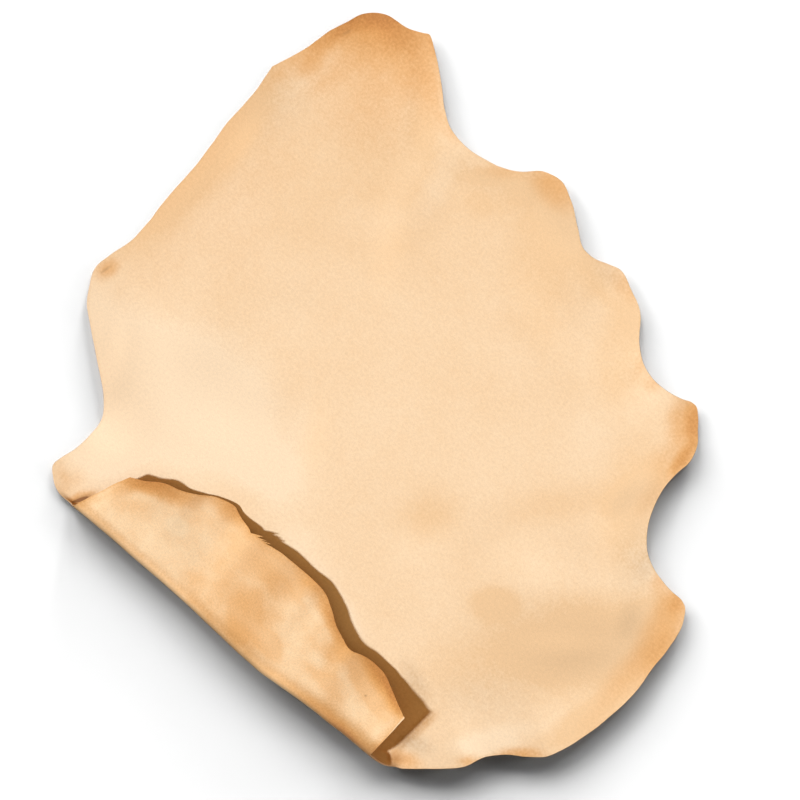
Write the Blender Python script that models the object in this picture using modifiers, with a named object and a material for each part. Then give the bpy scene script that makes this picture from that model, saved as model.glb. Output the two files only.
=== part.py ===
"""A vegetable-tanned leather hide that lies on a floor, its lower left side rolled over.

The hide is one sheet of even thickness. It is drawn as a flat cut, in distances along the
fold and across it, and is then laid: the part past the fold goes round a roll and lies back
over the hide, the rim lifts off the floor here and there, and broad soft waves cross it.
Its underside is flat where it touches the floor. The flap shows that underside.

Lengths in the tables are in millimetres. +Z is up, and the origin is on the floor under the
middle of the laid hide.
"""
from collections import namedtuple
from math import pi, sqrt

import bmesh
import bpy
import numpy as np
from mathutils import Vector
from mathutils.geometry import delaunay_2d_cdt

NAME = "hide"
MM = 0.001
THICKNESS = 2.0
COLOUR = (0.90, 0.62, 0.36, 1.0)
ROUGHNESS = 0.6

# The fold runs straight from its left end to its right end, seen from above.
FOLD_LEFT = np.array((-456.0, -168.0))
FOLD_RIGHT = np.array((-9.0, -542.0))
FOLD_LENGTH = float(np.linalg.norm(FOLD_RIGHT - FOLD_LEFT))
ALONG = (FOLD_RIGHT - FOLD_LEFT) / FOLD_LENGTH
ACROSS = np.array((-ALONG[1], ALONG[0]))

# The roll: its outer radius, how many degrees past level the flap turns down after the half
# turn, and how far the fold swells out past its straight line.
Roll = namedtuple("Roll", "along radius droop bulge")
ROLL = (
    Roll(0, 10, 7, 2),
    Roll(40, 13.6, 0.5, 1.5),
    Roll(60, 13.4, 1, 1.5),
    Roll(84, 13, 2, 1.5),
    Roll(114, 13, 5.2, 2.5),
    Roll(132, 13, 5.8, 2.8),
    Roll(150, 13, 7.6, 3),
    Roll(185, 13, 7, 3.5),
    Roll(203, 13.2, 6.9, 4),
    Roll(218, 13.6, 5.2, 4.5),
    Roll(241, 14.1, 2.1, 5.5),
    Roll(270, 14.6, 2.8, 7.5),
    Roll(296, 14.7, 2.8, 9),
    Roll(337, 15, 4.3, 11.5),
    Roll(358, 15.2, 3.5, 12),
    Roll(382, 15.3, 4.2, 12.5),
    Roll(400, 15.6, 3.6, 11),
    Roll(424, 15.9, 3.8, 9),
    Roll(448, 16.2, 4.4, 7),
    Roll(465, 16.4, 3.4, 6),
    Roll(484, 16.4, 6.2, 5),
    Roll(501, 16.3, 7.9, 5),
    Roll(523, 16.6, 7.9, 4),
    Roll(532, 17, 7.9, 3.5),
    Roll(542, 17.6, 6.2, 3.5),
    Roll(552, 18.2, 5.3, 3.5),
    Roll(561, 18.7, 3.6, 3.5),
    Roll(570, 19.1, 1, 3.5),
    Roll(579, 19.4, 0.4, 3.5),
    Roll(589, 19.6, -1.6, 3.3),
    Roll(600, 19.2, -2, 2.2),
    Roll(610, 18.3, -2, 0),
    Roll(622, 17, -2, -3.5),
)
# Past each end of the fold the curl eases out over this length.
CURL_FADE = 48.0

# The flap's free edge, from its right corner to its left end: how far it reaches over the
# hide from the fold's straight line.
Flap = namedtuple("Flap", "along reach")
FLAP_EDGE = (
    Flap(589, 75),
    Flap(575, 81),
    Flap(547, 95),
    Flap(518, 107),
    Flap(500, 108.5),
    Flap(481, 106),
    Flap(464, 101),
    Flap(440, 107),
    Flap(424, 114),
    Flap(398, 131),
    Flap(382, 140),
    Flap(348, 145.5),
    Flap(307, 146),
    Flap(252, 145),
    Flap(233, 141),
    Flap(210, 147),
    Flap(200, 151),
    Flap(192, 154.5),
    Flap(183, 153.5),
    Flap(173, 151),
    Flap(161, 147),
    Flap(133, 130),
    Flap(115, 121),
    Flap(86, 112.5),
    Flap(60, 96),
    Flap(46, 90),
    Flap(41, 87),
    Flap(29, 61),
    Flap(15, 24),
)

# The rim of the hide that lies on the floor, clockwise from above. Each point has its place
# and how far the rim lifts off the floor there.
Rim = namedtuple("Rim", "x y lift")
NECK = (
    Rim(-155, 488, 2),
    Rim(-145, 493, 2),
    Rim(-110, 512, 3),
    Rim(-67, 542, 4),
    Rim(-44, 554, 5),
    Rim(-18, 567, 5),
    Rim(14, 566, 5),
    Rim(53, 543, 4),
    Rim(72, 538, 5),
    Rim(81, 536, 5),
    Rim(85, 527, 5),
    Rim(89, 511, 6),
    Rim(93, 495, 6),
    Rim(99, 462, 7),
)
SHOULDER = (
    Rim(104, 423, 7),
    Rim(113, 395, 7),
    Rim(132, 371, 7),
    Rim(161, 350, 6),
    Rim(200, 333, 5),
    Rim(218, 330, 5),
    Rim(253, 330, 4),
    Rim(281, 314, 5),
    Rim(293, 288, 6),
)
RIGHT_SIDE = (
    Rim(304, 244, 7),
    Rim(312, 215, 7),
    Rim(328, 200, 6),
    Rim(350, 191, 5),
    Rim(367, 183, 5),
    Rim(383, 154, 5),
    Rim(396, 125, 6),
    Rim(396.5, 69, 8),
    Rim(403, 40, 9),
)
FORE_SHANK = (
    Rim(419, 16, 9),
    Rim(439, 0, 8),
    Rim(460, -11, 6),
    Rim(476, -17, 4),
    Rim(482, -23, 4),
    Rim(484, -34, 4),
    Rim(483.5, -58, 5),
    Rim(483, -81, 7),
    Rim(478.5, -94, 9),
    Rim(470, -108, 10),
    Rim(453, -122, 11),
    Rim(424, -160, 12),
    Rim(408, -210, 11),
)
HIND_SHANK = (
    Rim(409, -245, 10),
    Rim(417, -264, 9),
    Rim(432, -286, 8),
    Rim(446, -301, 7),
    Rim(459, -313, 6),
    Rim(464, -322, 6),
    Rim(462, -344, 7),
    Rim(438, -388, 10),
    Rim(416, -415, 11),
    Rim(396.5, -443, 12),
    Rim(344, -494, 13),
)
TAIL = (
    Rim(288, -533, 15),
    Rim(257, -547, 16),
    Rim(228, -548, 16),
    Rim(198, -545, 15),
    Rim(166, -548, 16),
    Rim(135, -562, 18),
    Rim(93, -566, 18),
    Rim(68, -566, 16),
    Rim(47, -566, 13),
    Rim(39, -566, 11),
    Rim(29, -564, 8),
    Rim(13, -566, 5),
    Rim(-1, -567, 3),
    Rim(-13, -566, 2),
    Rim(-23, -562, 1),
)
LEFT_SHANK = (
    Rim(-458, -171, 0),
    Rim(-470, -159, 1),
    Rim(-480, -144, 3),
    Rim(-484, -128, 4),
    Rim(-484, -110, 5),
    Rim(-471, -99, 5),
    Rim(-451, -86, 5),
    Rim(-430, -67, 4),
    Rim(-410, -39, 6),
    Rim(-408, -7, 9),
)
LEFT_SIDE = (
    Rim(-416, 38, 10),
    Rim(-428, 100, 8),
    Rim(-433, 130, 7),
    Rim(-430, 155, 5),
    Rim(-420, 186, 4),
    Rim(-398, 205, 3),
    Rim(-367, 226, 2),
    Rim(-344, 251, 2),
    Rim(-314, 289, 2),
    Rim(-262, 349, 2),
    Rim(-225, 400, 2),
    Rim(-177, 455, 2),
    Rim(-155, 488, 2),
)
RIGHT_RIM = NECK + SHOULDER + RIGHT_SIDE + FORE_SHANK + HIND_SHANK + TAIL
LEFT_RIM = LEFT_SHANK + LEFT_SIDE
# How far in from the rim a lift reaches.
LIFT_REACH = 100.0

# Broad soft waves in the flat cut: where the middle is, the way the crest runs from the fold's
# direction, the crest's length, the wave's width, and its height, which is negative for a
# hollow. Past the fold, across is negative and the wave is on the flap.
Wave = namedtuple("Wave", "along across turn length width height")
WAVES = (
    Wave(70, 265, 15, 330, 170, 3),
    Wave(100, 690, 100, 260, 120, 2.5),
    Wave(370, 700, -15, 260, 140, 2.5),
    Wave(640, 415, 25, 300, 130, 3.5),
    Wave(470, 330, 60, 220, 120, 2),
    Wave(150, -75, 0, 160, 90, 2),
)

# The mesh: the distance between points along the rim, on the flat sheet and on the flap, the
# steps round the roll, and the share of a step that inner points keep clear of the rim.
RIM_STEP = 10.0
SHEET_STEP = 28.0
FLAP_STEP = 16.0
ROLL_STEPS = 11
CLEAR_SHARE = 0.45


def clear_scene():
    """Remove what a new file starts with."""
    for thing in list(bpy.data.objects):
        bpy.data.objects.remove(thing)


def smooth_through(places, values, at):
    """Values at some places of a smooth curve through known values at known places."""
    slopes = np.gradient(values, places, axis=0)
    span = np.clip(np.searchsorted(places, at, side="right") - 1, 0, len(places) - 2)
    width = (places[span + 1] - places[span])[:, None]
    t = (at - places[span])[:, None] / width
    start = values[span] * (1 + 2 * t) * (1 - t) ** 2 + slopes[span] * width * t * (1 - t) ** 2
    end = values[span + 1] * (3 - 2 * t) * t ** 2 - slopes[span + 1] * width * t ** 2 * (1 - t)
    return start + end


def ease(distance):
    """A factor that falls softly from 1 at no distance to 0 at a distance of 1 and more."""
    return (1 + np.cos(pi * np.clip(distance, 0, 1))) / 2


def roll_at(along):
    """The roll's radius, droop, start of the bend and remaining curl, along the fold."""
    table = np.array(ROLL, float)
    inside = np.clip(along, 0, ROLL[-1].along)
    radius, droop, bulge = smooth_through(table[:, 0], table[:, 1:], inside).T
    curl = np.maximum(ease(np.abs(along - inside) / CURL_FADE), 0.001)
    return radius, np.radians(droop), radius - bulge, curl


def unrolled(along, reach):
    """Where a point of the flap, reach from the fold's line, lies across the flat cut."""
    radius, droop, start, _ = roll_at(along)
    straight = (reach - start - radius * np.sin(droop)) / np.cos(droop)
    return start - radius * (pi + droop) - straight


def to_cut(points):
    """Floor positions as distances along and across the fold."""
    away = points - FOLD_LEFT
    return np.stack((away @ ALONG, away @ ACROSS), axis=1)


def curve_through(anchors, step):
    """Points about a step apart on a smooth curve through anchors, without its last point."""
    anchors = np.array(anchors, float)
    chords = np.linalg.norm(np.diff(anchors[:, :2], axis=0), axis=1)
    places = np.concatenate(((0,), np.cumsum(chords)))
    count = max(1, round(places[-1] / step))
    return smooth_through(places, anchors, np.linspace(0, places[-1], count + 1)[:-1])


def rim_of_cut(step):
    """The rim of the flat cut, counterclockwise: along, across and lift of each point."""
    flap = np.array(FLAP_EDGE, float)
    flap[:, 1] = unrolled(flap[:, 0], flap[:, 1])
    flap = np.column_stack((flap, np.zeros(len(flap))))
    right, left = (
        np.column_stack((to_cut(points[:, :2]), points[:, 2]))
        for points in (np.array(RIGHT_RIM, float), np.array(LEFT_RIM, float)))
    stretches = (right, (right[-1], flap[0]), flap, (flap[-1], left[0]), left)
    clockwise = np.concatenate([curve_through(stretch, step) for stretch in stretches])
    return clockwise[::-1]


def rows_of_points(along, rows):
    """Points on rows that follow the fold, every other row set off by half a step."""
    half = (along[1] - along[0]) / 2
    points = []
    for number, row in enumerate(rows):
        places = along + half * (number % 2)
        points.append(np.stack((places, row(places)), axis=1))
    return np.concatenate(points)


def level(distance):
    """A straight row on the part that lies on the floor, at a distance from the fold's line."""
    return lambda along: np.full(len(along), distance)


def round_roll(share, beyond=0.0):
    """A row at a share of the turn round the roll, or beyond its end, on the flap."""
    def across(along):
        radius, droop, start, _ = roll_at(along)
        return start - share * radius * (pi + droop) - beyond
    return across


def inner_points(rim):
    """Points that fill the cut, with how far each kind keeps from the rim."""
    low, high = rim.min(axis=0), rim.max(axis=0)
    row_share = sqrt(3) / 2
    first_level = max(row.radius for row in ROLL) + row_share * FLAP_STEP
    sheet_rows = np.arange(first_level, high[1], row_share * SHEET_STEP)
    flap_rows = np.arange(1, -low[1] // FLAP_STEP) * row_share * FLAP_STEP
    sheet_along = np.arange(low[0], high[0], SHEET_STEP)
    flap_along = np.arange(low[0], high[0], FLAP_STEP)
    sheet = rows_of_points(sheet_along, [level(row) for row in sheet_rows])
    roll = rows_of_points(
        flap_along, [round_roll(share) for share in np.linspace(0, 1, ROLL_STEPS)])
    flap = rows_of_points(flap_along, [round_roll(1, beyond=row) for row in flap_rows])
    return (
        (sheet, CLEAR_SHARE * SHEET_STEP),
        (roll, CLEAR_SHARE * FLAP_STEP),
        (flap, CLEAR_SHARE * FLAP_STEP))


def clear_of(rim, points, gap):
    """The points that keep more than a gap from the rim."""
    nearest = [np.min(np.linalg.norm(rim - point, axis=1)) for point in points]
    return points[np.array(nearest) > gap]


def lift_at(cut, rim):
    """How far the rim's lift raises each point of the flat cut."""
    away = np.linalg.norm(cut[:, None, :] - rim[None, :, :2], axis=2)
    weight = 1 / np.maximum(away, 0.1) ** 4
    lift = (weight @ rim[:, 2]) / weight.sum(axis=1)
    fall = np.clip(1 - away.min(axis=1) / LIFT_REACH, 0, 1)
    return lift * fall ** 2


def waves_at(cut):
    """The height of the waves at each point of the flat cut."""
    total = np.zeros(len(cut))
    for wave in WAVES:
        turn = np.radians(wave.turn)
        away = cut - (wave.along, wave.across)
        crest = away @ (np.cos(turn), np.sin(turn)) / (wave.length / 2)
        side = away @ (-np.sin(turn), np.cos(turn)) / (wave.width / 2)
        total += wave.height * ease(np.hypot(crest, side))
    return total


def lay(cut, rim):
    """Positions of the laid underside for points of the flat cut."""
    along, across = cut.T
    radius, droop, start, curl = roll_at(along)
    bend = radius / curl
    into = np.maximum(start - across, 0)
    turn = np.minimum(into / bend, pi + droop)
    straight = into - bend * turn
    reach = np.maximum(across, start) - bend * np.sin(turn) - straight * np.cos(turn)
    height = bend * (1 - np.cos(turn)) + straight * np.sin(turn)
    height += lift_at(cut, rim) + waves_at(cut)
    floor = FOLD_LEFT + along[:, None] * ALONG + reach[:, None] * ACROSS
    return np.column_stack((floor, height))


def laid_sheet():
    """The hide's underside, as a mesh: the flat cut is filled with triangles and then laid."""
    rim = rim_of_cut(RIM_STEP)
    edge = rim[:, :2]
    inner = [clear_of(edge, points, gap) for points, gap in inner_points(edge)]
    flat = [Vector(point) for point in np.concatenate([edge] + inner)]
    border = [(number, (number + 1) % len(edge)) for number in range(len(edge))]
    points, _, triangles, _, _, _ = delaunay_2d_cdt(flat, border, [], 1, 0.001)
    laid = lay(np.array([tuple(point) for point in points]), rim)
    mesh = bpy.data.meshes.new(NAME)
    mesh.from_pydata((laid * MM).tolist(), [], triangles)
    return mesh


def drop_loose_points(mesh):
    """Remove the points outside the cut, which no triangle uses."""
    work = bmesh.new()
    work.from_mesh(mesh)
    bmesh.ops.delete(work, geom=[point for point in work.verts if not point.link_faces])
    work.to_mesh(mesh)
    work.free()


def centre_over_origin(mesh):
    """Move the mesh so that the middle of its box is over the origin, and it stays on z = 0."""
    points = np.array([tuple(point.co) for point in mesh.vertices])
    middle = (points.max(axis=0) + points.min(axis=0)) / 2
    for point in mesh.vertices:
        point.co.x -= middle[0]
        point.co.y -= middle[1]


def leather():
    """Pale tan, vegetable-tanned leather."""
    material = bpy.data.materials.new("leather")
    material.use_nodes = True
    shader = material.node_tree.nodes["Principled BSDF"]
    shader.inputs["Base Color"].default_value = COLOUR
    shader.inputs["Roughness"].default_value = ROUGHNESS
    return material


def build():
    """The hide, as one closed solid."""
    clear_scene()
    collection = bpy.data.collections.new("leather_hide")
    bpy.context.scene.collection.children.link(collection)
    mesh = laid_sheet()
    drop_loose_points(mesh)
    centre_over_origin(mesh)
    mesh.materials.append(leather())
    hide = bpy.data.objects.new(NAME, mesh)
    collection.objects.link(hide)
    body = hide.modifiers.new("thickness", "SOLIDIFY")
    body.thickness = THICKNESS * MM
    body.offset = 1


build()
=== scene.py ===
from collections import namedtuple
from math import cos, pi, radians, sin, sqrt

import bpy
import numpy as np
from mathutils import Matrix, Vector, noise
from mathutils.geometry import delaunay_2d_cdt
from mathutils.kdtree import KDTree


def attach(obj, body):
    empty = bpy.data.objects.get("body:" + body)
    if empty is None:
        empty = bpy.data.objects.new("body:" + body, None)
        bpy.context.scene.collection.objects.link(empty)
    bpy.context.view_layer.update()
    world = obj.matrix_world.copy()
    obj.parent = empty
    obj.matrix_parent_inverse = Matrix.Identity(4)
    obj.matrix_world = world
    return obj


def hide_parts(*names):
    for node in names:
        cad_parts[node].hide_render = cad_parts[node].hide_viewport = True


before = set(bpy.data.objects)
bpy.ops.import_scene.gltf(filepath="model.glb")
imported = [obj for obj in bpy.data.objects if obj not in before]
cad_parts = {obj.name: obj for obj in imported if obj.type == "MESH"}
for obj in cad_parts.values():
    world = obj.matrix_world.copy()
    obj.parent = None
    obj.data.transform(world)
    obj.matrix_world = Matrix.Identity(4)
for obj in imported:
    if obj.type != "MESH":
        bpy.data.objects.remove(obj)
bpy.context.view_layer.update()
MM = 0.001

# The view: straight down on the hide, from high above the floor and through a long lens.
VIEW_MIDDLE = (37.2, -13.9)
VIEW_WIDTH = 1200.0
LENS = 300.0
SENSOR = 36.0
RIM_HEIGHT = 8.0

camera_lens = bpy.data.cameras.new("camera")
camera_lens.lens = LENS
camera_lens.sensor_width = SENSOR
camera = bpy.data.objects.new("camera", camera_lens)
camera.location = Vector((*VIEW_MIDDLE, VIEW_WIDTH * LENS / SENSOR + RIM_HEIGHT)) * MM
bpy.context.scene.collection.objects.link(camera)
bpy.context.scene.camera = camera
bpy.context.scene.view_settings.view_transform = "Standard"

# The hide: one sheet of vegetable-tanned leather, 2 mm thick, smooth grain side up, with its
# rough flesh side showing where the lower left side is rolled over. It is drawn as the flat cut
# and laid: it goes round the roll, lies back over itself and lifts off the floor at the rim.
# Lengths are in millimetres.
THICKNESS = 2.0

FOLD_LEFT = np.array((-456.0, -168.0))
FOLD_RIGHT = np.array((-9.0, -542.0))
FOLD_LENGTH = float(np.linalg.norm(FOLD_RIGHT - FOLD_LEFT))
ALONG = (FOLD_RIGHT - FOLD_LEFT) / FOLD_LENGTH
ACROSS = np.array((-ALONG[1], ALONG[0]))

# The roll's outer radius, how many degrees past level the flap turns down after the half turn,
# and how far the fold swells out past its straight line.
Roll = namedtuple("Roll", "along radius droop bulge")
ROLL = (
    Roll(0, 10, 7, 2),
    Roll(40, 13.6, 0.5, 1.5),
    Roll(60, 13.4, 1, 1.5),
    Roll(84, 13, 2, 1.5),
    Roll(114, 13, 5.2, 2.5),
    Roll(132, 13, 5.8, 2.8),
    Roll(150, 13, 7.6, 3),
    Roll(185, 13, 7, 3.5),
    Roll(203, 13.2, 6.9, 4),
    Roll(218, 13.6, 5.2, 4.5),
    Roll(241, 14.1, 2.1, 5.5),
    Roll(270, 14.6, 2.8, 7.5),
    Roll(296, 14.7, 2.8, 9),
    Roll(337, 15, 4.3, 11.5),
    Roll(358, 15.2, 3.5, 12),
    Roll(382, 15.3, 4.2, 12.5),
    Roll(400, 15.6, 3.6, 11),
    Roll(424, 15.9, 3.8, 9),
    Roll(448, 16.2, 4.4, 7),
    Roll(465, 16.4, 3.4, 6),
    Roll(484, 16.4, 6.2, 5),
    Roll(501, 16.3, 7.9, 5),
    Roll(523, 16.6, 7.9, 4),
    Roll(532, 17, 7.9, 3.5),
    Roll(542, 17.6, 6.2, 3.5),
    Roll(552, 18.2, 5.3, 3.5),
    Roll(561, 18.7, 3.6, 3.5),
    Roll(570, 19.1, 1, 3.5),
    Roll(579, 19.4, 0.4, 3.5),
    Roll(589, 19.6, -1.6, 3.3),
    Roll(600, 19.2, -2, 2.2),
    Roll(610, 18.3, -2, 0),
    Roll(622, 17, -2, -3.5),
)
CURL_FADE = 48.0

# The flap's free edge: how far it reaches over the hide from the fold's straight line. On one
# stretch it is torn into a few slivers.
Flap = namedtuple("Flap", "along reach")
FLAP_EDGE_RIGHT = (
    Flap(589, 75), Flap(575, 81), Flap(547, 95), Flap(518, 107), Flap(500, 108.5),
    Flap(481, 106), Flap(464, 101), Flap(440, 107), Flap(424, 114), Flap(398, 131),
    Flap(382, 140), Flap(348, 145.5), Flap(307, 146), Flap(292, 146),
)
TORN_EDGE = (
    Flap(292, 146), Flap(271, 143), Flap(261, 141), Flap(269, 146), Flap(254, 141),
    Flap(262, 146), Flap(247, 141), Flap(254, 148), Flap(235, 139), Flap(229, 142),
)
FLAP_EDGE_LEFT = (
    Flap(229, 142), Flap(210, 147), Flap(200, 151), Flap(192, 154.5), Flap(183, 153.5),
    Flap(173, 151), Flap(161, 147), Flap(133, 130), Flap(115, 121), Flap(86, 112.5),
    Flap(62, 96.5), Flap(52, 91.8), Flap(42.5, 87.2),
)
FLAP_END_LEFT = (Flap(42.5, 87.2), Flap(29, 60), Flap(15, 24))

# The rim on the floor, clockwise from above, with how far it lifts off the floor.
Rim = namedtuple("Rim", "x y lift")
RIGHT_RIM = (
    Rim(-155, 488, 2), Rim(-145, 493, 2), Rim(-110, 512, 3), Rim(-67, 542, 4), Rim(-44, 554, 5),
    Rim(-18, 567, 5), Rim(14, 566, 5), Rim(53, 543, 4), Rim(72, 538, 5), Rim(81, 536, 5),
    Rim(85, 527, 5), Rim(89, 511, 6), Rim(93, 495, 6), Rim(99, 462, 7), Rim(104, 423, 7),
    Rim(113, 395, 7), Rim(132, 371, 7), Rim(161, 350, 6), Rim(200, 333, 5), Rim(218, 330, 5),
    Rim(253, 330, 4), Rim(281, 314, 5), Rim(293, 288, 6), Rim(304, 244, 7), Rim(312, 215, 7),
    Rim(328, 200, 6), Rim(350, 191, 5), Rim(367, 183, 5), Rim(383, 154, 5), Rim(396, 125, 6),
    Rim(396.5, 69, 8), Rim(403, 40, 9), Rim(419, 16, 9), Rim(439, 0, 8), Rim(460, -11, 6),
    Rim(476, -17, 4), Rim(482, -23, 4), Rim(484, -34, 4), Rim(483.5, -58, 5), Rim(483, -81, 7),
    Rim(478.5, -94, 9), Rim(470, -108, 10), Rim(453, -122, 11), Rim(424, -160, 12),
    Rim(408, -210, 11), Rim(409, -245, 10), Rim(417, -264, 9), Rim(432, -286, 8),
    Rim(446, -301, 7), Rim(459, -313, 6), Rim(464, -322, 6), Rim(462, -344, 7),
    Rim(438, -388, 10), Rim(416, -415, 11), Rim(396.5, -443, 12), Rim(344, -494, 13),
    Rim(288, -533, 15), Rim(257, -547, 16), Rim(228, -548, 16), Rim(198, -545, 15),
    Rim(166, -548, 16), Rim(135, -562, 18), Rim(93, -566, 18), Rim(68, -566, 16),
    Rim(47, -566, 13), Rim(39, -566, 11), Rim(29, -564, 8), Rim(13, -566, 5), Rim(-1, -567, 3),
    Rim(-13, -566, 2), Rim(-23, -562, 1),
)
LEFT_RIM = (
    Rim(-458, -171, 0), Rim(-470, -159, 1), Rim(-480, -144, 3), Rim(-484, -128, 4),
    Rim(-484, -110, 5), Rim(-471, -99, 5), Rim(-451, -86, 5), Rim(-430, -67, 4),
    Rim(-410, -39, 6), Rim(-408, -7, 9), Rim(-416, 38, 10), Rim(-428, 100, 8), Rim(-433, 130, 7),
    Rim(-430, 155, 5), Rim(-420, 186, 4), Rim(-398, 205, 3), Rim(-367, 226, 2), Rim(-344, 251, 2),
    Rim(-314, 289, 2), Rim(-262, 349, 2), Rim(-225, 400, 2), Rim(-177, 455, 2), Rim(-155, 488, 2),
)
LIFT_REACH = 100.0
# The drawn rim's middle, which lies over the origin in the laid hide.
DRAWN_MIDDLE = (-0.4, 1.1)

# Broad soft waves in the flat cut. Past the fold, across is negative and they are on the flap.
Wave = namedtuple("Wave", "along across turn length width height")
WAVES = (
    Wave(70, 265, 15, 330, 170, 3),
    Wave(100, 690, 100, 260, 120, 2.5),
    Wave(370, 700, -15, 260, 140, 2.5),
    Wave(640, 415, 25, 300, 130, 3.5),
    Wave(470, 330, 60, 220, 120, 2),
    Wave(150, -75, 0, 160, 90, 2),
)

# Soft marks in the leather, placed on the laid hide. Most are darker, more orange leather, where
# the edges were handled and burnished; a few, noted below, are painted shade. A negative strength
# takes some of that back.
Mark = namedtuple("Mark", "x y turn length width strength")
BURNISH_AND_SHADE = (
    Mark(0, 572, 0, 340, 220, 1.96),
    Mark(-10, 574, 3, 220, 90, 1.27),
    Mark(35, 540, -35, 130, 90, 0.92),
    Mark(60, 480, 80, 130, 90, 0.46),
    Mark(30, 500, -10, 260, 180, 0.41),
    Mark(0, 440, 0, 280, 240, 0.36),
    Mark(-52, 538, 35, 50, 16, 0.69),
    Mark(-75, 530, 35, 170, 60, 1.15),
    Mark(-130, 490, 40, 150, 70, 0.41),
    Mark(78, 470, -85, 200, 70, 0.34),
    Mark(268, 308, -50, 130, 80, 0.95),
    Mark(-402, 183, 35, 60, 40, 0.85),
    Mark(-262, 352, 50, 580, 70, 0.18),
    Mark(482, -50, 88, 125, 50, 2.01),
    Mark(462, -50, 88, 130, 70, 0.94),
    Mark(460, -104, 55, 90, 30, 1.70),
    Mark(445, -106, 50, 120, 80, 0.40),
    Mark(430, -365, 62, 190, 90, 0.94),
    Mark(428, -395, 55, 120, 44, 0.34),
    Mark(440, -315, 60, 80, 60, 0.53),
    Mark(385, -420, 45, 180, 70, 0.52),
    Mark(218, -545, 0, 110, 30, 1.05),
    Mark(140, -556, 0, 50, 22, 0.76),
    # Painted shade in the crease at the fold's left end.
    Mark(-444, -164, 22, 84, 28, 1.78),
    Mark(-470, -130, 100, 90, 30, 0.22),
    # These two are partly burnished leather and partly painted shade, on the rim beside the roll's
    # right end.
    Mark(40, -553, -15, 90, 40, 1.04),
    Mark(25, -551, -25, 46, 26, 0.41),
    Mark(-220, 300, 50, 520, 240, 0.15),
    Mark(-300, 60, 60, 400, 300, 0.03),
    Mark(-15, 555, 0, 160, 50, 0.51),
    Mark(90, 450, -82, 150, 40, 0.27),
    Mark(-95, 490, 40, 80, 44, 0.83),
    Mark(415, -160, 50, 120, 50, 0.27),
    Mark(400, 35, 65, 90, 40, 0.31),
    Mark(372, 160, -50, 110, 50, 0.35),
    Mark(340, -480, 45, 160, 50, 0.19),
    Mark(200, 330, 0, 130, 40, 0.34),
    Mark(-70, 470, 35, 130, 60, 0.36),
    Mark(-25, 535, 0, 70, 50, -0.01),
    Mark(-340, 190, 40, 200, 90, 0.06),
    Mark(-455, -135, 30, 70, 50, 0.22),
    Mark(455, -315, 80, 80, 40, 0.72),
    Mark(400, -449, 40, 90, 40, 0.20),
    Mark(427, -285, 60, 70, 40, 0.54),
    Mark(465, -335, -80, 50, 30, 0.18),
    Mark(418, 14, 40, 60, 40, 0.45),
    Mark(88, 516, -80, 60, 26, 0.69),
    Mark(111, 394, -60, 80, 40, 0.34),
    Mark(472, -104, 60, 50, 30, 0.47),
    Mark(-200, 200, 50, 200, 120, 0.06),
    # This one takes back painted shade where the roll's own shadow falls; the three after it are
    # painted shadow, a soft edge beyond the flap's shadow on the sheet.
    Mark(10, -550, 10, 40, 22, -0.9),
    Mark(38, -532, 43, 60, 27, 0.50),
    Mark(57, -514, 43, 60, 27, 0.54),
    Mark(76, -496, 43, 60, 27, 0.68),
)
# The same on the flap, which shows its other side.
FLAP_BURNISH = (
    Mark(-314, -146, -10, 90, 24, -0.48),
    Mark(-407, -147, 30, 60, 26, -0.63),
    Mark(-305, -155, -18, 120, 46, 1.35),
    Mark(-195, -318, -60, 140, 90, 0.55),
    Mark(-340, -138, -8, 120, 46, 2.13),
    Mark(-215, -178, -35, 90, 60, 1.19),
    Mark(-84, -302, -52, 160, 60, 1.05),
    Mark(-205, -360, -38, 150, 44, 0.75),
    Mark(-60, -395, 60, 100, 60, 0.80),
    Mark(8, -425, -60, 130, 50, 2.62),
    Mark(-70, -490, -39, 200, 36, 1.27),
    Mark(-160, -270, -45, 140, 60, 0.36),
    Mark(-25, -415, -50, 100, 70, 0.34),
    Mark(12, -470, -65, 90, 40, 0.19),
    Mark(-20, -450, -80, 110, 50, 0.08),
    Mark(-45, -520, -40, 110, 36, 2.21),
    Mark(-150, -430, -40, 120, 36, 0.40),
    Mark(-150, -300, 0, 80, 70, 0.60),
    Mark(-60, -350, -60, 100, 40, 1.34),
    Mark(-270, -310, -40, 90, 40, 0.46),
    Mark(-380, -215, -40, 120, 36, -0.12),
    Mark(-240, -250, 20, 90, 50, 0.11),
    Mark(-373, -148, 15, 60, 30, 0.58),
    Mark(25, -474, -65, 60, 30, 0.72),
    Mark(-110, -258, -40, 120, 30, 0.03),
    Mark(-62, -465, -40, 70, 44, 0.45),
    Mark(-155, -338, 0, 60, 50, 0.68),
    Mark(-230, -345, -40, 90, 40, -0.10),
    Mark(28, -461, -66, 100, 18, 2.2),
    Mark(16, -491, 45, 60, 34, -0.38),
)
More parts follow.
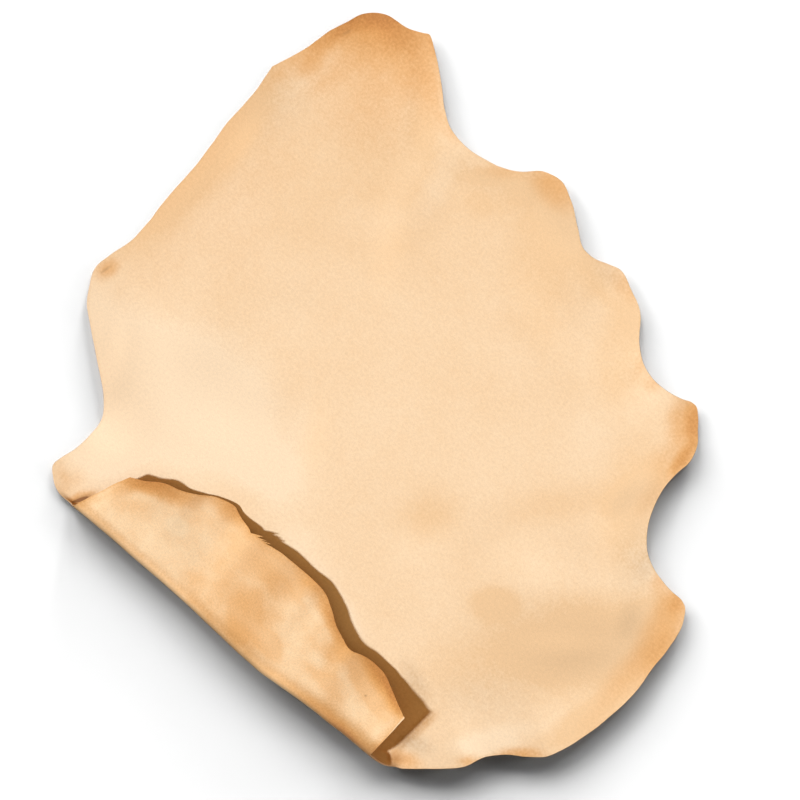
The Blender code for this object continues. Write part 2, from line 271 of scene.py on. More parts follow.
# Broad darker parts of the tan, and lighter ones, with a negative strength. A few, noted below,
# are painted light.
SHADE = (
    Mark(-310, -5, -25, 460, 320, -1.38),
    Mark(-405, 60, 85, 380, 190, -0.34),
    Mark(-405, -85, 20, 190, 150, -1.07),
    Mark(-180, -50, -60, 280, 190, -0.22),
    Mark(-170, -110, -40, 260, 130, -0.80),
    Mark(-120, -230, -50, 300, 110, -0.33),
    Mark(-60, -330, -50, 200, 80, -0.18),
    Mark(-5, 300, 0, 640, 460, 0.38),
    Mark(270, 230, -60, 320, 180, 0.57),
    Mark(240, 150, -60, 220, 140, 0.29),
    Mark(375, 80, 80, 300, 110, 0.75),
    Mark(75, 400, 90, 180, 80, 0.37),
    Mark(170, 322, 0, 140, 50, 0.62),
    Mark(240, 300, 0, 160, 70, 0.52),
    Mark(300, 250, -70, 220, 90, 0.60),
    Mark(390, -175, 80, 280, 160, 0.62),
    Mark(425, -125, 60, 120, 90, 0.33),
    Mark(290, -385, 5, 450, 220, 0.86),
    Mark(350, -325, 0, 280, 80, 0.17),
    Mark(180, -320, 0, 120, 80, 0.98),
    Mark(250, -400, -30, 160, 100, 0.36),
    Mark(395, -370, 50, 220, 130, 1.16),
    Mark(385, -425, 45, 190, 80, 0.69),
    Mark(320, -492, 30, 180, 70, 1.01),
    Mark(95, -425, 20, 260, 160, 0.19),
    Mark(250, -530, 0, 220, 60, 0.34),
    Mark(185, -520, 10, 180, 60, -0.60),
    Mark(80, -190, 10, 150, 110, 0.48),
    Mark(280, -170, 10, 260, 90, 0.35),
    Mark(90, 300, 65, 170, 60, -0.31),
    Mark(-262, 352, 50, 560, 140, 1.06),
    Mark(-200, 260, 40, 300, 160, -0.12),
    # Painted light: these three narrow marks lighten the sheet where the flap's shadow falls on
    # it.
    Mark(-50, -335, -62, 190, 50, -0.60),
    Mark(10, -440, -60, 130, 50, -0.25),
    Mark(-170, -235, -42, 130, 50, -0.22),
    # Painted light: this mark lightens the left rim where its lift turns it from the lamp.
    Mark(-425, 110, 85, 260, 80, -0.24),
    Mark(-445, -110, 30, 120, 80, 0.12),
    Mark(180, -535, 0, 200, 50, -0.55),
    Mark(60, 90, 20, 260, 160, -0.05),
    Mark(-60, 180, 0, 240, 160, -0.08),
    Mark(330, -60, 70, 180, 120, -0.24),
    Mark(160, -100, 0, 240, 160, -0.12),
    Mark(-230, 120, 30, 240, 120, 0.10),
    Mark(-248, 70, 20, 140, 70, -0.04),
    Mark(-112, -50, 80, 200, 60, -0.22),
    Mark(0, 256, 0, 200, 110, -0.27),
    Mark(157, 285, -20, 120, 80, 0.33),
    Mark(230, 90, -20, 200, 90, 0.22),
    Mark(367, 60, 80, 120, 60, -0.27),
    Mark(337, 150, -60, 90, 60, 0.33),
    Mark(370, -160, 40, 120, 60, 0.28),
    Mark(130, -40, 80, 140, 80, -0.11),
    Mark(440, -50, 85, 110, 50, 0.08),
)
# The same on the flap.
FLAP_SHADE = (
    Mark(-190, -240, -40, 190, 120, 0.84),
    Mark(-235, -295, -65, 140, 100, 0.61),
    Mark(-195, -340, 70, 120, 70, 1.77),
    Mark(-80, -380, -60, 130, 80, 0.45),
    Mark(-5, -440, -60, 180, 70, 1.89),
    Mark(-316, -240, -40, 200, 90, -0.18),
    Mark(-110, -340, -60, 120, 60, 0.03),
    Mark(-30, -478, -30, 90, 60, -0.19),
    Mark(-270, -190, -30, 120, 70, 0.16),
    Mark(-240, -230, -30, 100, 60, -0.22),
    Mark(-110, -300, -50, 80, 60, 0.96),
    Mark(-75, -430, -40, 120, 50, 1.06),
    Mark(-160, -380, -60, 90, 60, 1.40),
    Mark(-370, -170, -20, 110, 60, 0.46),
    Mark(-150, -270, -40, 90, 60, 1.25),
    Mark(-10, -500, -40, 70, 40, 0.09),
    Mark(-344, -146, -10, 60, 30, 0.31),
    Mark(-168, -401, -40, 60, 40, -0.40),
    Mark(-296, -204, -30, 60, 44, -0.88),
    Mark(-81, -408, -50, 60, 40, -0.86),
    Mark(-144, -287, -30, 50, 40, -0.80),
    Mark(-98, -308, -50, 50, 40, -1.16),
    Mark(-62, -465, -40, 70, 40, 0.10),
    Mark(-155, -338, 0, 50, 44, -0.44),
    Mark(-180, -359, -40, 50, 40, 0.09),
    Mark(-48, -386, -60, 60, 36, 0.91),
    Mark(-273, -281, -40, 60, 44, 0.55),
    Mark(-20, -512, -40, 60, 36, 0.12),
)
# Places that are a shade duller, or brighter with a negative strength, in the same colour. Some,
# noted below, are painted shade and some painted light.
DIM = (
    Mark(270, -370, 5, 460, 260, 0.064),
    Mark(330, -395, 10, 300, 130, 0.089),
    Mark(160, -460, 0, 260, 130, 0.072),
    Mark(400, -230, 80, 260, 120, 0.134),
    Mark(-10, 470, 0, 240, 200, -0.031),
    Mark(55, 425, 85, 260, 50, 0.045),
    Mark(300, 250, -50, 240, 120, 0.114),
    Mark(380, 90, 70, 220, 60, 0.020),
    Mark(-262, 340, 50, 480, 60, -0.046),
    Mark(-150, 440, 50, 200, 160, 0.066),
    Mark(150, 330, -25, 260, 90, 0.054),
    Mark(355, 170, -30, 90, 60, 0.068),
    Mark(385, 25, 60, 80, 50, 0.036),
    Mark(415, -155, 60, 90, 60, 0.079),
    Mark(410, -260, 60, 90, 60, 0.094),
    Mark(420, -330, 62, 190, 60, 0.031),
    # Painted light: these two lighten the left rim where its lift turns it from the lamp.
    Mark(-428, 60, 88, 300, 110, -0.080),
    Mark(-410, -60, 30, 180, 130, -0.080),
    # These two lie along the flap's shadow on the sheet: the first is painted shade there, the
    # second painted light.
    Mark(-50, -335, -62, 190, 50, 0.033),
    Mark(-210, -190, -42, 150, 50, -0.031),
    Mark(-270, 20, 50, 320, 200, 0.049),
    # Painted light on the left rim, as above.
    Mark(-412, 16, 85, 130, 60, -0.080),
    Mark(-340, 85, 20, 160, 80, 0.004),
    Mark(-385, -85, 20, 110, 60, -0.029),
    Mark(427, -359, 60, 60, 50, -0.023),
    Mark(382, -344, 70, 90, 60, 0.121),
    Mark(60, -437, -60, 120, 50, 0.146),
    Mark(60, -530, -20, 90, 50, 0.196),
    # Painted shadow: a soft edge beyond the flap's shadow on the sheet.
    Mark(38, -532, 43, 60, 27, 0.171),
    Mark(57, -514, 43, 60, 27, 0.171),
    Mark(76, -496, 43, 60, 27, 0.173),
    Mark(0, 540, 0, 110, 60, -0.080),
    Mark(-198, 376, 55, 190, 50, -0.080),
    # Painted light on the left rim, as above.
    Mark(-386, 61, 85, 160, 50, -0.080),
    Mark(466, -45, 85, 100, 40, -0.006),
    Mark(375, -164, 50, 110, 50, 0.090),
    Mark(292, -378, 0, 200, 60, -0.080),
    Mark(440, -300, 60, 100, 44, -0.007),
    Mark(20, 200, 80, 200, 80, -0.048),
    Mark(-130, 140, 0, 160, 100, 0.020),
    Mark(260, 20, 60, 180, 100, 0.004),
    Mark(-90, -70, 80, 180, 70, -0.051),
    Mark(-10, -150, 60, 160, 90, 0.005),
    Mark(-180, -20, 0, 140, 80, 0.017),
)
# How much the outside of the fold is darkened, along it, and how far onto the flap. This is partly
# wear and partly painted shade, where the lamp lights the roll's outside.
WearAndShade = namedtuple("WearAndShade", "along strength width")
FOLD_WEAR_AND_SHADE = (
    WearAndShade(0, 1.1, 17), WearAndShade(60, 1.5, 17), WearAndShade(150, 1.1, 16), WearAndShade(220, 0.9, 16),
    WearAndShade(270, 2.1, 18), WearAndShade(310, 2.3, 20), WearAndShade(350, 2.2, 22), WearAndShade(400, 0.5, 24),
    WearAndShade(450, 1.6, 27), WearAndShade(500, 1.9, 28), WearAndShade(550, 2.6, 28), WearAndShade(583, 3.3, 24),
)

# How far from the fold's outside its darkening stays full, and how wide the painted shade line
# along the roll's outer edge is.
FOLD_FULL_DARKENING = 6.0
FOLD_SHADE_LINE_WIDTH = 4.5

# How far the cut edge wanders, and over what lengths.
WANDER = 0.6
WANDER_LENGTH = 26.0
FINE_WANDER_LENGTH = 7.0

# The spacing of the points along the rim, on the sheet and on the flap, the rows round the
# roll, and the share of the spacing that stays clear inside the rim.
RIM_STEP = 3.0
SHEET_STEP = 6.5
FLAP_STEP = 5.0
ROLL_STEPS = 22
CLEAR_SHARE = 0.5


def smooth_through(places, values, at):
    """Values at some places of a smooth curve through known values at known places."""
    slopes = np.gradient(values, places, axis=0)
    span = np.clip(np.searchsorted(places, at, side="right") - 1, 0, len(places) - 2)
    width = (places[span + 1] - places[span])[:, None]
    t = (at - places[span])[:, None] / width
    start = values[span] * (1 + 2 * t) * (1 - t) ** 2 + slopes[span] * width * t * (1 - t) ** 2
    end = values[span + 1] * (3 - 2 * t) * t ** 2 - slopes[span + 1] * width * t ** 2 * (1 - t)
    return start + end


def ease(distance):
    """A factor that falls softly from 1 at no distance to 0 at a distance of 1 and more."""
    return (1 + np.cos(pi * np.clip(distance, 0, 1))) / 2


def roll_at(along):
    """The roll's radius, droop, start of the bend and remaining curl, along the fold."""
    table = np.array(ROLL, float)
    inside = np.clip(along, 0, ROLL[-1].along)
    radius, droop, bulge = smooth_through(table[:, 0], table[:, 1:], inside).T
    curl = np.maximum(ease(np.abs(along - inside) / CURL_FADE), 0.001)
    return radius, np.radians(droop), radius - bulge, curl


def unrolled(along, reach):
    """Where a point of the flap, reach from the fold's line, lies across the flat cut."""
    radius, droop, start, _ = roll_at(np.array([along], float))
    straight = (reach - start - radius * np.sin(droop)) / np.cos(droop)
    return float((start - radius * (pi + droop) - straight)[0])


def to_cut(points):
    """Floor positions as distances along and across the fold."""
    away = points - FOLD_LEFT
    return np.stack((away @ ALONG, away @ ACROSS), axis=1)


def curve_through(anchors, step):
    """Points about a step apart on a smooth curve through anchors, without its last point."""
    anchors = np.array(anchors, float)
    chords = np.linalg.norm(np.diff(anchors[:, :2], axis=0), axis=1)
    places = np.concatenate(((0,), np.cumsum(chords)))
    count = max(1, round(places[-1] / step))
    return smooth_through(places, anchors, np.linspace(0, places[-1], count + 1)[:-1])


def rim_of_cut(step):
    """The rim of the flat cut, counterclockwise: along, across and lift of each point."""
    flap_right, torn, flap_left, end_left = (
        np.array([(row.along, unrolled(row.along, row.reach), 0) for row in table], float)
        for table in (FLAP_EDGE_RIGHT, TORN_EDGE, FLAP_EDGE_LEFT, FLAP_END_LEFT))
    right, left = (
        np.column_stack((to_cut(points[:, :2]), points[:, 2]))
        for points in (np.array(RIGHT_RIM, float), np.array(LEFT_RIM, float)))
    slivers = list(zip(torn[:-1], torn[1:]))
    stretches = [
        right, (right[-1], flap_right[0]), flap_right, *slivers, flap_left, end_left,
        (end_left[-1], left[0]), left]
    clockwise = np.concatenate([curve_through(stretch, step) for stretch in stretches])
    return clockwise[::-1]


def rows_of_points(along, rows):
    """Points on rows that follow the fold, every other row set off by half a step."""
    half = (along[1] - along[0]) / 2
    points = []
    for number, row in enumerate(rows):
        places = along + half * (number % 2)
        points.append(np.stack((places, row(places)), axis=1))
    return np.concatenate(points)


def level(distance):
    """A straight row on the part that lies on the floor, at a distance from the fold's line."""
    return lambda along: np.full(len(along), distance)


def round_roll(share, beyond=0.0):
    """A row at a share of the turn round the roll, or beyond its end, on the flap."""
    def across(along):
        radius, droop, start, _ = roll_at(along)
        return start - share * radius * (pi + droop) - beyond
    return across


def nearest_rim(rim):
    """A tree that finds the rim point nearest to a point of the flat cut."""
    tree = KDTree(len(rim))
    for number, point in enumerate(rim):
        tree.insert((point[0], point[1], 0), number)
    tree.balance()
    return tree


def to_rim(tree, cut):
    """How far each point of the flat cut is from the rim."""
    return np.array([tree.find((along, across, 0))[2] for along, across in cut])


def inner_points(rim, tree):
    """Points that fill the flat cut, clear of its rim."""
    low, high = rim.min(axis=0), rim.max(axis=0)
    row_share = sqrt(3) / 2
    first_level = max(row.radius for row in ROLL) + row_share * FLAP_STEP
    sheet_rows = np.arange(first_level, high[1], row_share * SHEET_STEP)
    flap_rows = np.arange(1, -low[1] // FLAP_STEP + 8) * row_share * FLAP_STEP
    sheet_along = np.arange(low[0], high[0], SHEET_STEP)
    flap_along = np.arange(low[0], high[0], FLAP_STEP)
    sheet = rows_of_points(sheet_along, [level(row) for row in sheet_rows])
    roll = rows_of_points(
        flap_along, [round_roll(share) for share in np.linspace(0, 1, ROLL_STEPS)])
    flap = rows_of_points(flap_along, [round_roll(1, beyond=row) for row in flap_rows])
    kept = []
    for points, step in ((sheet, SHEET_STEP), (roll, FLAP_STEP), (flap, FLAP_STEP)):
        kept.append(points[to_rim(tree, points) > CLEAR_SHARE * step])
    return kept


def lift_at(cut, rim):
    """How far the rim's lift raises each point of the flat cut."""
    raised = []
    for part in np.array_split(cut, 16):
        away = np.linalg.norm(part[:, None, :] - rim[None, :, :2], axis=2)
        weight = 1 / np.maximum(away, 0.1) ** 4
        lift = (weight @ rim[:, 2]) / weight.sum(axis=1)
        raised.append(lift * np.clip(1 - away.min(axis=1) / LIFT_REACH, 0, 1) ** 2)
    return np.concatenate(raised)


def soft_spots(points, spots, size):
    """The sum of long soft spots at each point: each has a place, a turn, a length and a width."""
    total = np.zeros(len(points))
    for spot in spots:
        turn = radians(spot.turn)
        away = points - np.array(spot[:2])
        lengthwise = away @ (cos(turn), sin(turn)) / (spot.length / 2)
        sideways = away @ (-sin(turn), cos(turn)) / (spot.width / 2)
        total += size(spot) * ease(np.hypot(lengthwise, sideways))
    return total


def marked(points, on_flap, marks, flap_marks):
    """How strongly each point is marked. The flap shows its other side, with its own marks."""
    sheet, flap = (soft_spots(points, table, lambda mark: mark.strength)
                   for table in (marks, flap_marks))
    return np.where(on_flap, flap, sheet)


def lay(cut, rim):
    """Positions of the laid underside for points of the flat cut."""
    along, across = cut.T
    radius, droop, start, curl = roll_at(along)
    bend = radius / curl
    into = np.maximum(start - across, 0)
    turn = np.minimum(into / bend, pi + droop)
    straight = into - bend * turn
    reach = np.maximum(across, start) - bend * np.sin(turn) - straight * np.cos(turn)
    height = bend * (1 - np.cos(turn)) + straight * np.sin(turn)
    height += lift_at(cut, rim) + soft_spots(cut, WAVES, lambda wave: wave.height)
    floor = FOLD_LEFT + along[:, None] * ALONG + reach[:, None] * ACROSS - DRAWN_MIDDLE
    return np.column_stack((floor, height))


def wear_and_shade_along_fold():
    """The strength and the width of the fold's darkening, partly wear and partly painted shade,
    each with its places along the fold.
    """
    table = np.array(FOLD_WEAR_AND_SHADE, float)
    return (table[:, 0], table[:, 1]), (table[:, 0], table[:, 2])


def set_values(mesh, name, values):
    """Store one value for each point of the mesh."""
    mesh.attributes.new(name, "FLOAT", "POINT").data.foreach_set("value", values)


# The flat cut: its rim, which wanders a little, and points inside it, joined into triangles.
rim = rim_of_cut(RIM_STEP)
ahead = np.roll(rim, -1, axis=0) - np.roll(rim, 1, axis=0)
outward = np.stack((ahead[:, 1], -ahead[:, 0]), axis=1)
outward /= np.linalg.norm(outward, axis=1)[:, None]
wander = np.array([
    noise.noise((x / WANDER_LENGTH, y / WANDER_LENGTH, 3))
    + 0.3 * noise.noise((x / FINE_WANDER_LENGTH, y / FINE_WANDER_LENGTH, 8))
    for x, y, _ in rim])
rim[:, :2] += outward * (WANDER * wander)[:, None]
edge = rim[:, :2]
edge_tree = nearest_rim(edge)
cut_points = np.concatenate([edge] + inner_points(edge, edge_tree))
border = [(number, (number + 1) % len(edge)) for number in range(len(edge))]
flat, _, triangles, _, _, _ = delaunay_2d_cdt(
    [Vector(point) for point in cut_points], border, [], 1, 0.001)
cut = np.array([tuple(point) for point in flat])
used = np.unique(np.array(triangles))
renumber = np.full(len(cut), -1)
renumber[used] = np.arange(len(used))
cut = cut[used]
triangles = renumber[np.array(triangles)]

# The laid hide, and on it the marks and the fold's darkening, partly wear and partly painted
# shade: turned is how many half turns a point is round the roll, and from_fold is how far it is
# inside the fold, seen from above.
laid = lay(cut, rim)
hide_mesh = bpy.data.meshes.new("leather_hide")
hide_mesh.from_pydata((laid * MM).tolist(), [], triangles.tolist())
places = laid[:, :2]
radius, _, start, curl = roll_at(cut[:, 0])
on_flap = cut[:, 1] < start - 2 * radius
turned = (start - cut[:, 1]) / (radius * pi)
from_fold = (places + DRAWN_MIDDLE - FOLD_LEFT) @ ACROSS - (start - radius)
from_fold = np.where(turned > 0.5, np.maximum(from_fold, 0), 0)
outside = curl * ease((0.5 - turned) / 0.5)
worn_and_shaded, width = (np.interp(cut[:, 0], *column) for column in wear_and_shade_along_fold())
# The fold's darkening is partly wear and partly painted shade; the line along the roll's outer
# edge is painted shade.
fold = outside * ease((from_fold - FOLD_FULL_DARKENING) / width) * worn_and_shaded
fold_shade_line = outside * np.exp(-(from_fold / FOLD_SHADE_LINE_WIDTH) ** 2)
set_values(hide_mesh, "burnish_and_shade", marked(places, on_flap, BURNISH_AND_SHADE, FLAP_BURNISH))
set_values(hide_mesh, "shade", marked(places, on_flap, SHADE, FLAP_SHADE))
set_values(hide_mesh, "dim", marked(places, on_flap, DIM, ()))
set_values(hide_mesh, "fold", fold)
set_values(hide_mesh, "fold_shade_line", fold_shade_line)
set_values(hide_mesh, "rim_distance", to_rim(edge_tree, cut))
cut_map = hide_mesh.uv_layers.new(name="cut")
corner_points = np.empty(len(hide_mesh.loops), int)
hide_mesh.loops.foreach_get("vertex_index", corner_points)
cut_map.data.foreach_set("uv", (cut[corner_points] * MM).ravel())

# The sheet's thickness: the grain side is above, the flesh side below, the cut edge round it.
hide = bpy.data.objects.new("leather_hide", hide_mesh)
bpy.context.scene.collection.objects.link(hide)
body = hide.modifiers.new("thickness", "SOLIDIFY")
body.thickness = THICKNESS * MM
body.offset = 1
body.material_offset = 1
body.material_offset_rim = 2


class Value:
    """A number that varies over the leather: sums on it add the nodes that work it out."""

    def __init__(self, finish, socket):
        self.finish = finish
        self.socket = socket

    def sum_with(self, operation, *terms):
        node = self.finish.node("Math", {"operation": operation}, dict(enumerate(terms)))
        return node["Value"]

    def __add__(self, other):
        return self.sum_with("ADD", self, other)

    __radd__ = __add__

    def __mul__(self, other):
        return self.sum_with("MULTIPLY", self, other)

    __rmul__ = __mul__

    def __sub__(self, other):
        return self.sum_with("SUBTRACT", self, other)

    def __rsub__(self, other):
        return self.sum_with("SUBTRACT", other, self)

    def __truediv__(self, other):
        return self.sum_with("DIVIDE", self, other)

    def __pow__(self, other):
        return self.sum_with("POWER", self, other)

    def at_least(self, other):
        """The value, or a lower limit where it is below that."""
        return self.sum_with("MAXIMUM", self, other)

    def between(self, low, high):
        """0 below a low value, 1 above a high one, and a soft step between."""
        step = {"interpolation_type": "SMOOTHSTEP"}
        return self.finish.node("MapRange", step, {0: self, 1: low, 2: high})["Result"]


class Made:
    """A node, whose outputs are read by name as values."""

    def __init__(self, finish, node):
        self.finish = finish
        self.node = node

    def __getitem__(self, name):
        socket = next(s for s in self.node.outputs if s.name == name and s.enabled)
        return Value(self.finish, socket)


class Finish:
    """A finish of the leather: a material and the nodes that make it."""

    def __init__(self, name):
        self.material = bpy.data.materials.new(name)
        self.material.use_nodes = True
        self.tree = self.material.node_tree
        self.shader = self.tree.nodes["Principled BSDF"]

    def node(self, kind, settings=None, sockets=None):
        """A node of a kind, with its settings, and values or links for its sockets."""
        node = self.tree.nodes.new("ShaderNode" + kind)
        for name, value in (settings or {}).items():
            setattr(node, name, value)
        for name, value in (sockets or {}).items():
            socket = node.inputs[name] if isinstance(name, int) else next(
                s for s in node.inputs if s.name == name and s.enabled)
            self.join(socket, value)
        return Made(self, node)

    def join(self, socket, value):
        """Link a value to a socket, or set the socket to a plain number or colour."""
        if isinstance(value, Value):
            self.tree.links.new(value.socket, socket)
        else:
            socket.default_value = value

    def stored(self, name):
        """What is stored at each point of the leather under a name."""
        return self.node("Attribute", {"attribute_name": name})["Fac"]

    def cloud(self, scale, detail=2.0, roughness=0.5, distortion=0.0):
        """Soft noise in the flat cut, from 0 to 1, with a number of clouds to the metre."""
        place = self.node("UVMap", {"uv_map": "cut"})["UV"]
        return self.node("TexNoise", None, {
            "Vector": place, "Scale": scale, "Detail": detail, "Roughness": roughness,
            "Distortion": distortion})["Fac"]

    def pores(self, scale):
        """How far each place is from the nearest of many scattered points."""
        place = self.node("UVMap", {"uv_map": "cut"})["UV"]
        return self.node("TexVoronoi", {"feature": "F1"}, {
            "Vector": place, "Scale": scale})["Distance"]

    def spot(self, along, across, turn, length, width):
        """A small soft mark in the flat cut, 1 in its middle, in millimetres and degrees."""
        place = self.node("UVMap", {"uv_map": "cut"})["UV"]
        inside = self.node("Mapping", {"vector_type": "TEXTURE"}, {
            "Vector": place, "Location": (along * MM, across * MM, 0),
            "Rotation": (0, 0, radians(turn)), "Scale": (length / 2 * MM, width / 2 * MM, 1)})
        away = self.node("VectorMath", {"operation": "LENGTH"}, {0: inside["Vector"]})["Value"]
        return 1 - away.between(0, 1)

    def blend(self, share, first, second):
        """One colour over another, by a share."""
        return self.node("Mix", {"data_type": "RGBA"}, {
            "Factor": share, "A": first, "B": second})["Result"]

    def scaled(self, colour, factor):
        """A colour made lighter or darker by a factor."""
        return self.node("VectorMath", {"operation": "SCALE"}, {
            0: colour, "Scale": factor})["Vector"]

    def burnished(self, colour, share, mottle, flecks):
        """A colour burnt by a share, unevenly, and scorched where that share is past 1."""
        burnt = (share * (0.3 + 0.5 * mottle + 0.9 * flecks)).at_least(0)
        colour = self.blend(burnt / (1 + burnt * burnt) ** 0.5, colour, BURNT)
        return self.blend((burnt - 1.0) * 0.35, colour, SCORCHED)

    def wear(self, colour, roughness, height, depth):
        """Give the leather its colour, its roughness and the relief of its surface."""
        bump = self.node("Bump", None, {
            "Height": height, "Distance": depth, "Strength": 1.0})["Normal"]
        self.join(self.shader.inputs["Base Color"], colour)
        self.join(self.shader.inputs["Roughness"], roughness)
        self.join(self.shader.inputs["Normal"], bump)


# The grain side: pale tan with soft blotches, and burnt orange where it is burnished and where the
# marks above paint shade. Its dark spots are painted shadow at the fold's two ends, a small
# stained spot by the neck's tip and a small dark streak on the left shank.
PALE = (0.905, 0.705, 0.485, 1)
TAN = (0.800, 0.540, 0.300, 1)
BURNT = (0.690, 0.330, 0.085, 1)
SCORCHED = (0.500, 0.200, 0.045, 1)
DARK = (0.270, 0.110, 0.030, 1)

grain = Finish("leather_grain_side")
blotch = grain.cloud(9, 3)
mottle = grain.cloud(70, 3, 0.6)
speck = grain.cloud(420, 3, 0.7)
flecks = grain.cloud(230, 2, 0.6)
patches = (mottle - 0.5) * 0.45 + (flecks - 0.5) * 0.45
tan_share = (0.50 + grain.stored("shade") + (blotch - 0.5) * 0.5
             + patches * (0.8 + 9 * grain.stored("dim")))
colour = grain.blend(tan_share, PALE, TAN)
near_rim = 1 - grain.stored("rim_distance").between(0, 5)
# The marks' burnished leather and painted shade, and a little burnishing near the rim.
burnt_and_shaded_share = grain.stored("burnish_and_shade") + 0.12 * near_rim
colour = grain.burnished(colour, burnt_and_shaded_share, mottle, flecks)
# The first three spots are painted shadow at the fold's two ends; then a small stained spot by the
# neck's tip and a small dark streak on the left shank.
dark_spots = (0.6 * grain.spot(8, 16, 60, 56, 14) + 2.2 * grain.spot(6, 11.5, 60, 38, 7)
         + 0.4 * grain.spot(618, 19, 30, 50, 26)
         + 0.35 * grain.spot(-137, 807, 65, 28, 9) + 0.35 * grain.spot(-186, 302, 75, 30, 7))
colour = grain.blend(dark_spots * (0.7 + 0.6 * mottle), colour, DARK)
colour = grain.scaled(
    colour, (1.02 + 0.16 * speck - 0.20 * flecks) * (1 - grain.stored("dim")))
grain_height = grain.pores(900) * 0.6 + speck * 0.5 + mottle * 0.7
grain.wear(colour, 0.55 + 0.15 * speck, grain_height, 0.0002)

# The flesh side, on the flap: more mottled, napped, burnt orange along its edges, and darker on
# the roll's outside, which is partly wear and partly painted shade, with a painted shade line
# along its outer edge. It has one small stained spot and a painted highlight along its cut end.
FLESH_PALE = (0.930, 0.705, 0.450, 1)
FLESH_TAN = (0.830, 0.520, 0.260, 1)

flesh = Finish("leather_flesh_side")
blotch = flesh.cloud(16, 3, 0.55, 0.6)
mottle = flesh.cloud(85, 4, 0.6)
nap = flesh.cloud(700, 4, 0.7, 0.5)
tan_share = 0.40 + flesh.stored("shade") + (blotch - 0.5) * 0.9 + (mottle - 0.5) * 0.65
colour = flesh.blend(tan_share, FLESH_PALE, FLESH_TAN)
near_rim = 1 - flesh.stored("rim_distance").between(0, 17)
at_rim = 1 - flesh.stored("rim_distance").between(0, 4)
burnt_and_shaded_share = (flesh.stored("burnish_and_shade") + 0.60 * near_rim + 0.50 * at_rim
               + 0.50 * flesh.stored("fold"))
flecks = flesh.cloud(330, 2, 0.6)
colour = flesh.burnished(colour, burnt_and_shaded_share, mottle, flecks)
colour = flesh.scaled(colour, 0.925 + 0.50 * nap - 0.35 * flecks)
dark_spots = 0.5 * flesh.spot(523, -90, 0, 6, 6)
colour = flesh.blend(dark_spots, colour, DARK)
# A painted highlight: a pale line along the flap's cut end, standing in for its lit cut edge.
painted_highlight_edge = 0.8 * flesh.spot(588, -90, 90, 80, 6)
colour = flesh.blend(painted_highlight_edge, colour, FLESH_PALE)
# Painted shade on the roll's outside, partly wear too, and a painted shade line along its outer
# edge.
colour = flesh.scaled(colour, 1 - 0.12 * flesh.stored("fold"))
colour = flesh.scaled(colour, 1 - 0.6 * flesh.stored("fold_shade_line"))
flesh.wear(colour, 0.85, nap * 0.8 + mottle * 0.4, 0.0004)

# The cut edge: raw brown fibres.
raw = Finish("leather_cut_edge")
fibre = raw.cloud(900, 4, 0.7)
colour = raw.blend(fibre, (0.32, 0.17, 0.08, 1), (0.48, 0.29, 0.14, 1))
raw.wear(colour, 0.8, fibre, 0.0003)

for finish in (grain, flesh, raw):
    hide_mesh.materials.append(finish.material)

bpy.ops.object.select_all(action="DESELECT")
bpy.context.view_layer.objects.active = hide
hide.select_set(True)
bpy.ops.object.modifier_apply(modifier=body.name)
bpy.ops.object.shade_smooth_by_angle(angle=radians(40))

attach(hide, "root")
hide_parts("hide")

# The floor: a wide, plain, matt plane, just under the hide. It is grey, and its own strong
# lamps light it to white, so that little light falls back from it onto the hide's rim.
FLOOR_SIZE = 60.0
FLOOR_GAP = 0.2
bpy.ops.mesh.primitive_plane_add(size=FLOOR_SIZE, location=(0, 0, -FLOOR_GAP * MM))
floor = bpy.context.object
floor.name = "floor"
floor_finish = Finish("floor_white")
floor_finish.shader.inputs["Base Color"].default_value = (0.30, 0.30, 0.30, 1)
floor_finish.shader.inputs["Roughness"].default_value = 1.0
floor_finish.shader.inputs["Specular IOR Level"].default_value = 0.0
floor.data.materials.append(floor_finish.material)

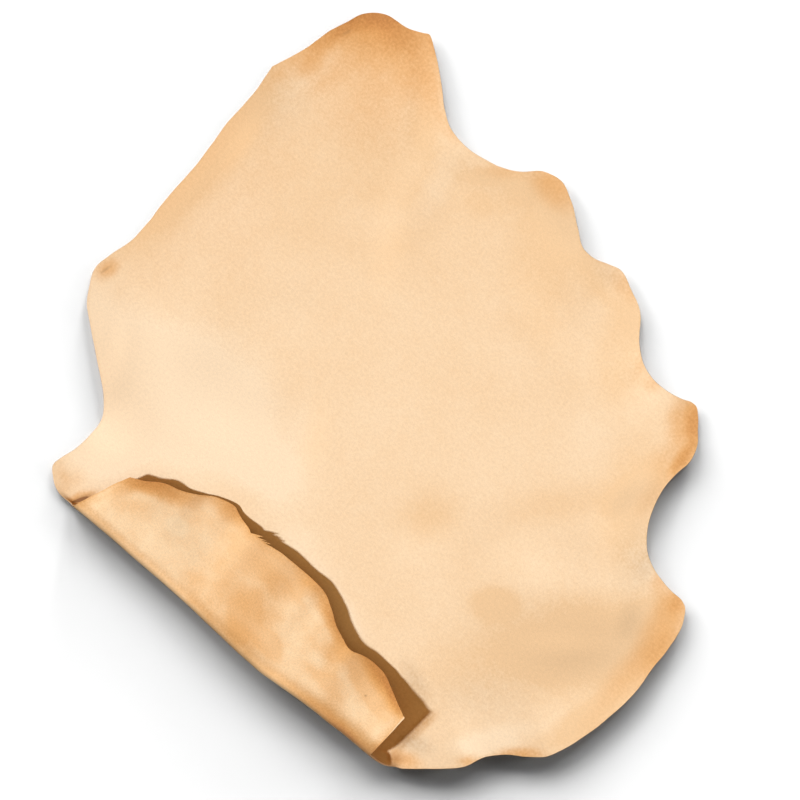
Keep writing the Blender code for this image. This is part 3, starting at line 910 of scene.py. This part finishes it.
# The studio light: a lamp from the left and a soft warm light from overhead on the leather. The
# floor has lamps of its own, low and white, in an arc from the left round beyond the neck to the
# right. Their shadows fall mostly below the hide and add up to a soft one.
WHITE = (1.0, 1.0, 1.0)
Lamp = namedtuple("Lamp", "name azimuth elevation angle strength colour lit")
LAMPS = (
    Lamp("lamp_left", 190, 43, 5.5, 4.50, (0.785, 0.895, 1.0), hide),
    Lamp("light_overhead", 0, 90, 120, 1.13, (1.0, 0.595, 0.23), hide),
    Lamp("light_beyond", 105, 15, 18, 3.54, WHITE, floor),
    Lamp("light_beyond_high", 105, 24, 24, 5.49, WHITE, floor),
    Lamp("light_beyond_left", 120, 15, 18, 3.72, WHITE, floor),
    Lamp("light_left", 135, 15, 18, 2.83, WHITE, floor),
    Lamp("light_left_low", 135, 9, 10, 4.19, WHITE, floor),
    Lamp("light_far_left", 150, 15, 18, 3.78, WHITE, floor),
    Lamp("light_beyond_right", 75, 15, 18, 4.49, WHITE, floor),
    Lamp("light_beyond_right_low", 75, 6, 8, 6.61, WHITE, floor),
    Lamp("light_right_high", 60, 24, 24, 3.84, WHITE, floor),
    Lamp("light_right", 15, 15, 18, 2.30, WHITE, floor),
    Lamp("light_right_low", 345, 9, 10, 2.33, WHITE, floor),
)
for lamp in LAMPS:
    light = bpy.data.lights.new(lamp.name, "SUN")
    light.energy = lamp.strength
    light.angle = radians(lamp.angle)
    light.color = lamp.colour
    holder = bpy.data.objects.new(lamp.name, light)
    azimuth, elevation = radians(lamp.azimuth), radians(lamp.elevation)
    towards = Vector((
        cos(elevation) * cos(azimuth), cos(elevation) * sin(azimuth), sin(elevation)))
    holder.rotation_euler = towards.to_track_quat("Z", "Y").to_euler()
    bpy.context.scene.collection.objects.link(holder)
    lit = bpy.data.collections.new("lit_by_" + lamp.name)
    lit.objects.link(lamp.lit)
    holder.light_linking.receiver_collection = lit

# The room: white where the camera looks at it, and giving very little light.
ROOM_LIGHT = 0.012
sky = bpy.data.worlds.new("studio")
bpy.context.scene.world = sky
sky.use_nodes = True
nodes, links = sky.node_tree.nodes, sky.node_tree.links
seen = nodes.new("ShaderNodeLightPath").outputs["Is Camera Ray"]
strength = nodes.new("ShaderNodeMapRange")
strength.inputs["To Min"].default_value = ROOM_LIGHT
strength.inputs["To Max"].default_value = 1.0
links.new(seen, strength.inputs["Value"])
links.new(strength.outputs["Result"], nodes["Background"].inputs["Strength"])
nodes["Background"].inputs["Color"].default_value = (1, 1, 1, 1)
